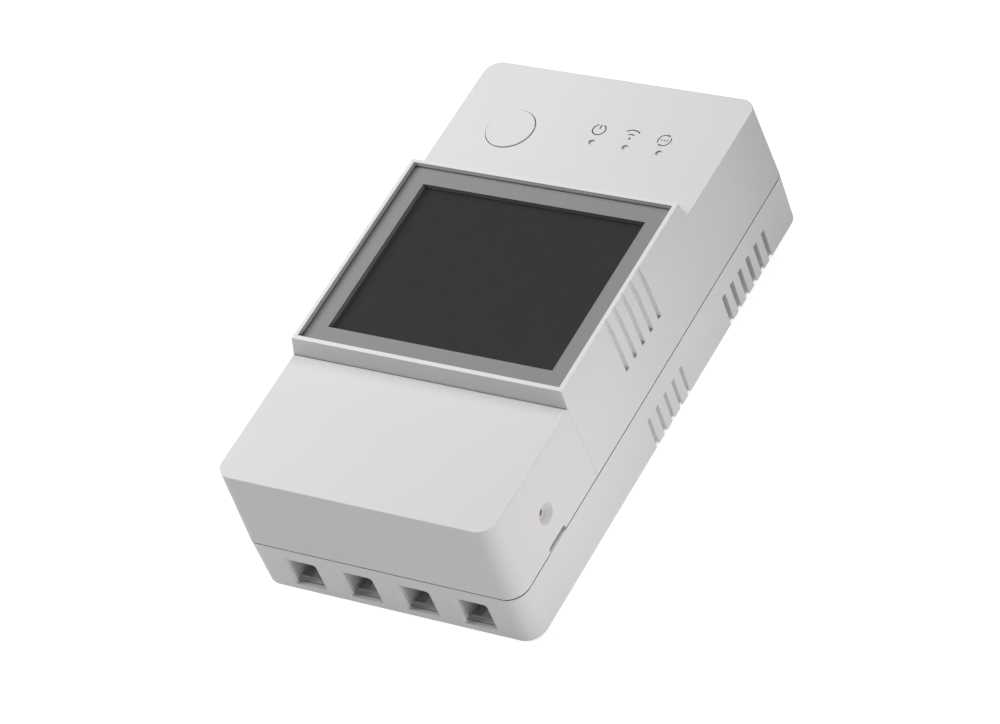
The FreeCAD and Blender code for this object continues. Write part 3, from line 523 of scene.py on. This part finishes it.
cx, cy = 7.95, 35.9
sig = [strip(arc(cx, cy, 1.92, 132, 48), W, Z0, Z1), strip(arc(cx, cy, 0.90, 128, 52), W, Z0, Z1), disc(cx, cy - 0.05, 0.23, Z0, Z1)]
obj_from("symbol_signal", *merge(sig), "ink_grey", "housing", "bezel_grey")

cx, cy, r = 14.33, 36.67, 1.20


def arrow_head(a, turn):
    """Small triangle on the ring at angle a, pointing along the ring."""
    px, py = cx + r * math.cos(math.radians(a)), cy + r * math.sin(math.radians(a))
    tx, ty = -math.sin(math.radians(a)) * turn, math.cos(math.radians(a)) * turn
    ux, uy = math.cos(math.radians(a)), math.sin(math.radians(a))
    return tri([(px + tx * 0.5, py + ty * 0.5), (px + ux * 0.28, py + uy * 0.28), (px - ux * 0.28, py - uy * 0.28)], Z0, Z1)


ring = [strip(arc(cx, cy, r, 215, 75), 0.21, Z0, Z1), strip(arc(cx, cy, r, 35, -105), 0.21, Z0, Z1), arrow_head(75, -1), arrow_head(-105, -1)]
ring += [disc(cx + dx, cy, 0.16, Z0, Z1, 16) for dx in (-0.55, 0.0, 0.55)]
obj_from("symbol_cycle", *merge(ring), "ink_grey", "housing", "bezel_grey")

# ------------------------------------------------------------------ parts on the boards, and other small details
PCB_TOP, PCB_LOW, CTL_TOP, CTL_LOW = 4.6, 3.0, 21.4, 20.0
ENTRY = [0.2 + 11.02 * (i - 1.5) for i in range(4)]


def placed(vf, f3):
    """Maps (u, v, h) of each vertex to X, Y, Z."""
    v, f = vf
    return [f3(*q) for q in v], f


def at(x, y, z, turn=0, up=1):
    """Placement on a board: u along X (or Y when turned), h away from the board."""
    if turn:
        return lambda u, v, h: (x - v, y + u, z + up * h)
    return lambda u, v, h: (x + u, y + v, z + up * h)


def moulded(lx, ly, h, c=0.12, low=0.0):
    """Small moulded body: four sides with a draft break at mid height, bevelled top."""
    v = []
    for hh, k in ((low, c * 0.6), (h * 0.5, 0.0), (h - c, c * 0.5), (h, c * 1.4)):
        v += [(-lx / 2 + k, -ly / 2 + k, hh), (lx / 2 - k, -ly / 2 + k, hh), (lx / 2 - k, ly / 2 - k, hh), (-lx / 2 + k, ly / 2 - k, hh)]
    f = [(0, 3, 2, 1), (12, 13, 14, 15)]
    for r in range(3):
        for i in range(4):
            j = (i + 1) % 4
            f.append((4 * r + i, 4 * r + j, 4 * r + 4 + j, 4 * r + 4 + i))
    return v, f


def profile(pts, w):
    """Convex outline in (u, h), run along v."""
    n = len(pts)
    v = [(u, -w / 2, h) for u, h in pts] + [(u, w / 2, h) for u, h in pts]
    f = [tuple(range(n)), tuple(range(2 * n - 1, n - 1, -1))]
    f += [(i, n + i, n + (i + 1) % n, (i + 1) % n) for i in range(n)]
    return v, f


def lathe(rings, n=16):
    """Solid of revolution about h, from (radius, height) rings."""
    v = []
    for r, h in rings:
        v += [(r * math.cos(2 * math.pi * i / n), r * math.sin(2 * math.pi * i / n), h) for i in range(n)]
    f = [tuple(range(n)), tuple(range(len(v) - 1, len(v) - n - 1, -1))]
    for k in range(len(rings) - 1):
        a, b = k * n, (k + 1) * n
        f += [(a + i, a + (i + 1) % n, b + (i + 1) % n, b + i) for i in range(n)]
    return v, f


def chip(x, y, z, length, width, h, turn, up, bodies, metal_bits):
    """Two-ended chip: body, plated ends and their solder fillets."""
    p = at(x, y, z, turn, up)
    e = length * 0.16
    bodies.append(placed(moulded(length - 2 * e + 0.04, width, h, 0.05, 0.03), p))
    for s in (-1, 1):
        o = s * (length / 2 - e)
        pts = [(0, 0), (0, h + 0.03), (e * 0.8, h + 0.03), (e, h - 0.03), (e + 0.16, h * 0.45), (e + 0.45, 0.05), (e + 0.5, 0)]
        metal_bits.append(placed(profile(pts, width + 0.1), lambda u, v, hh, s=s, o=o: p(o + s * u, v, hh)))


def gull_row(x, y, z, turn, up, side, reach, count, pitch, w, metal_bits):
    """Row of bent leads on one side of a moulded body."""
    p = at(x, y, z, turn, up)
    for i in range(count):
        v, f = strip([(0, 0.62), (0.28, 0.60), (0.46, 0.10), (0.95, 0.085)], 0.15, -w / 2, w / 2)
        o = (i - (count - 1) / 2) * pitch
        if side in (-1, 1):
            metal_bits.append(([p(side * (reach + a), o + c, h) for a, h, c in v], f))
        else:
            s = 1 if side == 2 else -1
            metal_bits.append(([p(o + c, s * (reach + a), h) for a, h, c in v], f))


def joint(x, y, z, up, r=0.95, pin=0.32, tall=0.75):
    """Solder cone round a lead that sticks out of the board."""
    return placed(lathe([(r, 0), (r * 0.93, 0.08), (r * 0.55, 0.30), (pin + 0.12, 0.60), (pin, tall), (pin * 0.7, tall + 0.12)], 14), at(x, y, z, 0, up))


tin, black, ceramic, print_ = [], [], [], []

# tinned lanes between the terminals and the relay, on the strip of board in the terminal room
for x in (-15.3, -5.31, 5.71, 15.6):
    hump = [(-1.9, 0.0), (-1.72, 0.12), (-1.1, 0.22), (0.0, 0.27), (1.1, 0.22), (1.72, 0.12), (1.9, 0.0)]
    tin.append(placed(profile(hump, 12.0), lambda u, v, h, x=x: (x + u, -27.2 + v, PCB_TOP + h)))
    for dy in (-2.4, 1.6):
        print_.append(strip([(x - 2.35, -27.2 + dy - 1.4), (x - 2.35, -27.2 + dy + 1.4)], 0.14, PCB_TOP, PCB_TOP + 0.03))
        print_.append(strip([(x + 2.35, -27.2 + dy - 1.4), (x + 2.35, -27.2 + dy + 1.4)], 0.14, PCB_TOP, PCB_TOP + 0.03))


def outline(x, y, hx, hy, z, z1):
    return strip([(x - hx, y - hy), (x + hx, y - hy), (x + hx, y + hy), (x - hx, y + hy)], 0.14, z, z1, closed=True)


for (x, y) in ((-10.3, -29.9), (-10.3, -25.0), (10.6, -25.0)):
    chip(x, y, PCB_TOP, 3.2, 1.6, 0.55, 1, 1, black, tin)
    print_.append(outline(x, y, 1.25, 2.35, PCB_TOP, PCB_TOP + 0.03))
chip(10.6, -30.0, PCB_TOP, 3.6, 2.4, 1.1, 1, 1, ceramic, tin)
print_.append(outline(10.6, -30.0, 1.65, 2.6, PCB_TOP, PCB_TOP + 0.03))
black.append(placed(moulded(3.9, 4.9, 1.35, 0.16, 0.12), at(0.2, -28.9, PCB_TOP)))
for sd in (-1, 1):
    gull_row(0.2, -28.9, PCB_TOP, 0, 1, sd, 1.9, 4, 1.27, 0.42, tin)
print_.append(placed(lathe([(0.22, 0), (0.22, 0.02), (0.16, 0.03)], 12), at(-1.2, -30.7, PCB_TOP + 1.34)))
chip(-1.2, -24.4, PCB_TOP, 2.0, 1.25, 0.7, 1, 1, ceramic, tin)
chip(1.6, -24.4, PCB_TOP, 2.0, 1.25, 0.45, 1, 1, black, tin)
print_.append(outline(0.2, -24.4, 2.6, 1.7, PCB_TOP, PCB_TOP + 0.03))
for (x, y) in ((-12.6, -23.0), (-8.1, -23.0), (8.4, -22.9), (12.9, -22.9), (-22.6, -23.6), (22.6, -23.6)):
    tin.append(placed(lathe([(0.62, 0), (0.60, 0.04), (0.35, 0.10), (0.1, 0.12)], 14), at(x, y, PCB_TOP)))

# solder joints under the main board
legs = [(x + d, -35.3) for x in ENTRY for d in (-1.0, 1.0)] + [(x, -8.85 + d) for x in (-14.0, 10.0) for d in (-1.3, 1.3)]
legs += [(-15.7, 10.6), (-10.3, 10.6), (-19.7, 17.4), (-8.3, 17.4), (14.3, 3.25), (20.1, 3.25)]
legs += [(x, y) for x in (4.0, 6.5) for y in (27.2, 29.7, 32.2)]
legs += [(x, y) for y in (14.9, 27.1) for x in (11.0, 14.0, 17.0, 20.0)]
legs += [(-4.15, 20.8), (-0.65, 20.8), (-5.15, 11.0), (-1.65, 11.0), (3.6, 9.6), (5.6, 9.6)]
for (x, y) in legs:
    tin.append(joint(x, y, PCB_LOW, -1, 0.62 if x in (4.0, 6.5) else 0.95, 0.25))

# small parts among the big ones on the main board
for (x, y, t) in ((-18.9, 4.6, 0), (-14.6, 4.6, 0), (-18.9, 1.6, 0), (-14.6, 1.6, 0), (-4.5, 1.4, 1), (-1.5, 1.4, 1), (1.5, 1.4, 1), (4.5, 3.6, 0), (8.6, 13.2, 0), (-20.6, 13.4, 1)):
    chip(x, y, PCB_TOP, 2.0, 1.25, 0.45, t, 1, black, tin)
for (x, y, t) in ((-10.2, 4.6, 0), (-10.2, 1.6, 0), (21.3, -4.4, 1), (11.6, -17.4, 0), (4.2, 15.2, 0), (-1.6, 33.4, 1), (0.6, 33.4, 1)):
    chip(x, y, PCB_TOP, 2.0, 1.25, 0.8, t, 1, ceramic, tin)
for k in range(5):
    for sd, xs in ((-1, 13.6), (1, 19.6)):
        v, f = strip([(0, 0.72), (0.25, 0.70), (0.42, 0.10), (0.85, 0.085)], 0.15, -0.18, 0.18)
        tin.append(([(xs + sd * a, -6.2 + 0.75 * k + c, PCB_TOP + h) for a, h, c in v], f))
# castellated edge of the radio module
for k in range(10):
    for sd, xs in ((-1, -22.8), (1, -6.8)):
        pts = [(0, 0), (-0.12, 0.92), (0.12, 0.92), (0.45, 0.25), (0.62, 0)]
        if sd < 0 or abs(23.4 + 1.15 * k - 28) > 0.9:
            tin.append(placed(profile(pts, 0.62), lambda u, v, h, sd=sd, xs=xs, k=k: (xs + sd * u, 23.4 + 1.15 * k + v, PCB_TOP + h)))

obj_from("main_board_solder", *merge(tin), "solder_tin", "housing", "shield_steel")
obj_from("main_board_chips", *merge(black), "black_plastic", "housing", "black_plastic")
obj_from("main_board_ceramics", *merge(ceramic), "chip_ceramic", "housing", "fuse_ceramic")
obj_from("main_board_print", *merge(print_), "frame_white", "housing", "frame_white")

# control board: parts on its underside, and the lamps' resistors on top
tin, black, ceramic = [], [], []
black.append(placed(moulded(7.0, 7.0, 1.0, 0.18, 0.10), at(-9.0, 9.0, CTL_LOW, 0, -1)))
for sd in (-1, 1, 2, 3):
    gull_row(-9.0, 9.0, CTL_LOW, 0, -1, sd, 3.42, 12, 0.5, 0.2, tin)
for (x, y, t) in ((-15.0, 9.0, 1), (-3.4, 6.2, 1), (-3.4, 11.6, 1), (3.0, 6.0, 0), (3.0, 9.0, 0), (9.0, 12.0, 1), (-9.0, 15.2, 0)):
    chip(x, y, CTL_LOW, 1.6, 0.8, 0.4, t, -1, black, tin)
for (x, y, t) in ((-15.0, 6.0, 1), (-12.4, 15.2, 0), (-5.6, 15.2, 0), (12.0, 12.0, 1), (16.0, 3.0, 0)):
    chip(x, y, CTL_LOW, 2.0, 1.25, 0.8, t, -1, ceramic, tin)
for x in (1.66, 8.17, 14.68):
    chip(x, 30.6, CTL_TOP, 1.6, 0.8, 0.4, 0, 1, black, tin)
    for s in (-1, 1):
        tin.append(placed(profile([(0, 0), (0, 0.34), (0.12, 0.30), (0.42, 0)], 1.0), lambda u, v, h, s=s, x=x: (x + s * (0.82 + u), 33.77 + v, CTL_TOP + h)))
for sx in (-1, 1):
    for dy in (-1.8, 1.8):
        v, f = strip([(0, 0.55), (0.3, 0.53), (0.5, 0.10), (1.1, 0.085)], 0.18, -0.35, 0.35)
        tin.append(([(-14.47 + sx * (2.58 + a), 33.80 + dy + c, CTL_TOP + h) for a, h, c in v], f))
obj_from("control_board_solder", *merge(tin), "solder_tin", "housing", "shield_steel")
obj_from("control_board_chips", *merge(black), "black_plastic", "housing", "black_plastic")
obj_from("control_board_ceramics", *merge(ceramic), "chip_ceramic", "housing", "fuse_ceramic")


def hoop(cx_, cy_, cz_, r, t, n=40, m=6):
    """Wire ring about X."""
    v = []
    for i in range(n):
        a = 2 * math.pi * i / n
        for j in range(m):
            b_ = 2 * math.pi * j / m
            q = r + t * math.cos(b_)
            v.append((cx_ + t * math.sin(b_), cy_ + q * math.cos(a), cz_ + q * math.sin(a)))
    f = [(i * m + j, i * m + (j + 1) % m, ((i + 1) % n) * m + (j + 1) % m, ((i + 1) % n) * m + j) for i in range(n) for j in range(m)]
    return v, f


# outer layer of the relay coil, turn by turn
obj_from("relay_coil_turns", *merge([hoop(-13.98 + 0.36 * k, -8.85, 11.6, 4.44, 0.165) for k in range(37)]), "copper_winding", "housing", "copper_winding", smooth=True)

# aluminium tops of the capacitors with their vent scores, and the pale stripe on each sleeve
tops, stripes = [], []
for (x, y, r, h) in ((-2.4, 20.8, 4.0, 11.6), (-3.4, 11.0, 4.0, 11.6), (4.6, 9.6, 2.5, 9.0)):
    zt = PCB_TOP + h
    for k in range(3):
        a0 = math.radians(120 * k + 4)
        a1 = math.radians(120 * k + 116)
        pts = [(0.10 * math.cos(0.5 * (a0 + a1)), 0.10 * math.sin(0.5 * (a0 + a1)))]
        pts += [((r - 0.75) * math.cos(a0 + (a1 - a0) * i / 12), (r - 0.75) * math.sin(a0 + (a1 - a0) * i / 12)) for i in range(13)]
        low = [(x + px, y + py, zt + 0.005) for px, py in pts]
        high = [(x + px * 0.97, y + py * 0.97, zt + 0.10) for px, py in pts]
        n = len(pts)
        tops.append((low + high, [tuple(range(n)), tuple(range(2 * n - 1, n - 1, -1))] + [(i, n + i, n + (i + 1) % n, (i + 1) % n) for i in range(n)]))
    n, v = 14, []
    for rr in (r + 0.01, r + 0.05):
        for zz in (PCB_TOP + 0.9, zt - 0.7):
            v += [(x + rr * math.cos(math.radians(200 + 50 * i / n)), y + rr * math.sin(math.radians(200 + 50 * i / n)), zz) for i in range(n + 1)]
    k = n + 1
    f = []
    for i in range(n):
        f += [(i, i + 1, k + i + 1, k + i), (2 * k + i, 3 * k + i, 3 * k + i + 1, 2 * k + i + 1), (i, 2 * k + i, 2 * k + i + 1, i + 1), (k + i, k + i + 1, 3 * k + i + 1, 3 * k + i)]
    f += [(0, k, 3 * k, 2 * k), (n, 2 * k + n, 3 * k + n, k + n)]
    stripes.append((v, f))
obj_from("capacitor_tops", *merge(tops), "solder_tin", "housing", "shield_steel")
obj_from("capacitor_stripes", *merge(stripes), "frame_white", "housing", "frame_white")

# plated end caps of the fuse
caps = []
for s, x0 in ((-1, -18.75), (1, -9.25)):
    vf = lathe([(2.02, 0.0), (2.27, 0.08), (2.27, 1.45), (2.18, 1.66), (1.9, 1.74), (0.5, 1.78)], 28)
    caps.append(placed(vf, lambda u, v, h, s=s, x0=x0: (x0 + s * h, 17.4 + u, 8.6 + v)))
obj_from("fuse_caps", *merge(caps), "contact_brass", "housing", "contact_brass", smooth=False)

# gripping ridges in the jaws: on each cage's floor and under each contact tongue
for i, x in enumerate(ENTRY):
    teeth = [placed(profile([(-0.28, 0), (0, 0.16), (0.28, 0)], 4.4), lambda u, v, h, k=k, x=x: (x + v, -43.2 + 0.9 * k + u, 2.99 + h)) for k in range(5)]
    obj_from("jaw_ridges_%d" % (i + 1), *merge(teeth), "clamp_steel", "cage_%d" % (i + 1), "clamp_steel")
teeth = []
for x in ENTRY:
    teeth += [placed(profile([(-0.28, 0), (0, 0.16), (0.28, 0)], 3.6), lambda u, v, h, k=k, x=x: (x + v, -43.2 + 0.9 * k + u, 8.01 - h)) for k in range(5)]
obj_from("tongue_ridges", *merge(teeth), "contact_brass", "housing", "contact_brass")

# raised tally marks beside the clamps, one to four, and a moulded frame round each well
marks = []
for i, x in enumerate(ENTRY):
    for k in range(i + 1):
        marks.append(placed(moulded(0.42, 1.7, 0.22, 0.07, -0.05), at(x + (k - i / 2) * 0.95, -34.35, 20.0)))
    v, f = strip(arc(x, -41.4, 3.42, 0, 352.5, 47), 0.36, 19.95, 20.14, closed=True)
    marks.append((v, f))
obj_from("terminal_marks", *merge(marks), "terminal_plastic", "housing", "terminal_plastic")

# plain label plate in the recess of the back, its corners rounded
v, f = [], []
pts = []
for cx_, cy_, a0 in ((13.9, 7.0, 0), (-13.9, 7.0, 90), (-13.9, -13.0, 180), (13.9, -13.0, 270)):
    pts += [(cx_ + 0.8 * math.cos(math.radians(a0 + 15 * i)), cy_ + 0.8 * math.sin(math.radians(a0 + 15 * i))) for i in range(7)]
obj_from("blank_label", *tri(pts, 0.03, 0.125), "label_film", "housing", "frame_white")

# ------------------------------------------------------------------ floor, light, camera
WORLD, FLOOR_GLOW, KEY, BACK, SPOT = 0.15, 0.66, 4.15, 2.10, 14.2

bpy.ops.mesh.primitive_plane_add(size=6, location=(0, 0, -0.00002))
floor = bpy.context.object
floor.name = "floor"
fm, nt, b, tc = new_mat("floor_white")
b.inputs["Base Color"].default_value = (0.5, 0.5, 0.5, 1)
b.inputs["Roughness"].default_value = 1.0
b.inputs["Specular IOR Level"].default_value = 0.0
b.inputs["Emission Color"].default_value = (1, 1, 1, 1)
b.inputs["Emission Strength"].default_value = FLOOR_GLOW
floor.data.materials.append(fm)

world = bpy.data.worlds.new("studio")
world.use_nodes = True
world.node_tree.nodes["Background"].inputs["Color"].default_value = (1, 1, 1, 1)
world.node_tree.nodes["Background"].inputs["Strength"].default_value = WORLD
scene.world = world


def aim(o, loc, target):
    o.location = loc
    d = Vector(target) - Vector(loc)
    o.rotation_euler = d.to_track_quat("-Z", "Y").to_euler()


def area(name, loc, target, size, power):
    l = bpy.data.lights.new(name, "AREA")
    l.shape = "SQUARE"
    l.size = size
    l.energy = power
    o = bpy.data.objects.new(name, l)
    scene.collection.objects.link(o)
    aim(o, loc, target)
    return o


area("key_left", (-0.40, -0.05, 0.40), (0, 0, 0.02), 0.35, KEY)
area("back_high", (0.10, 0.24, 0.54), (0, 0, 0.02), 0.40, BACK)
sp = bpy.data.lights.new("side_near", "SPOT")
sp.energy = SPOT
sp.color = (1.0, 0.95, 1.0)
sp.spot_size = math.radians(14)
sp.spot_blend = 1.0
sp.shadow_soft_size = 0.06
so = bpy.data.objects.new("side_near", sp)
scene.collection.objects.link(so)
aim(so, (0.62, -0.12, 0.06), (0.027, -0.030, 0.014))

cam = bpy.data.cameras.new("camera")
cam.sensor_width = 36.0
cam.lens = 4317.62 * 36.0 / 1000.0
cam.clip_start = 0.01
cam.clip_end = 20.0
co = bpy.data.objects.new("camera", cam)
scene.collection.objects.link(co)
right = Vector((0.83993541, 0.45972561, -0.28837627))
down = Vector((0.16536077, -0.72292694, -0.67084459))
fwd = Vector((-0.51687941, 0.51578, -0.68323251))
rot = Matrix((right, -down, -fwd)).transposed()
co.matrix_world = Matrix.Translation(Vector((367.65505, -371.81156, 488.42029 + HP)) * MM) @ rot.to_4x4()
scene.camera = co

scene.view_settings.view_transform = "Standard"
scene.view_settings.look = "None"
scene.view_settings.exposure = 0.0
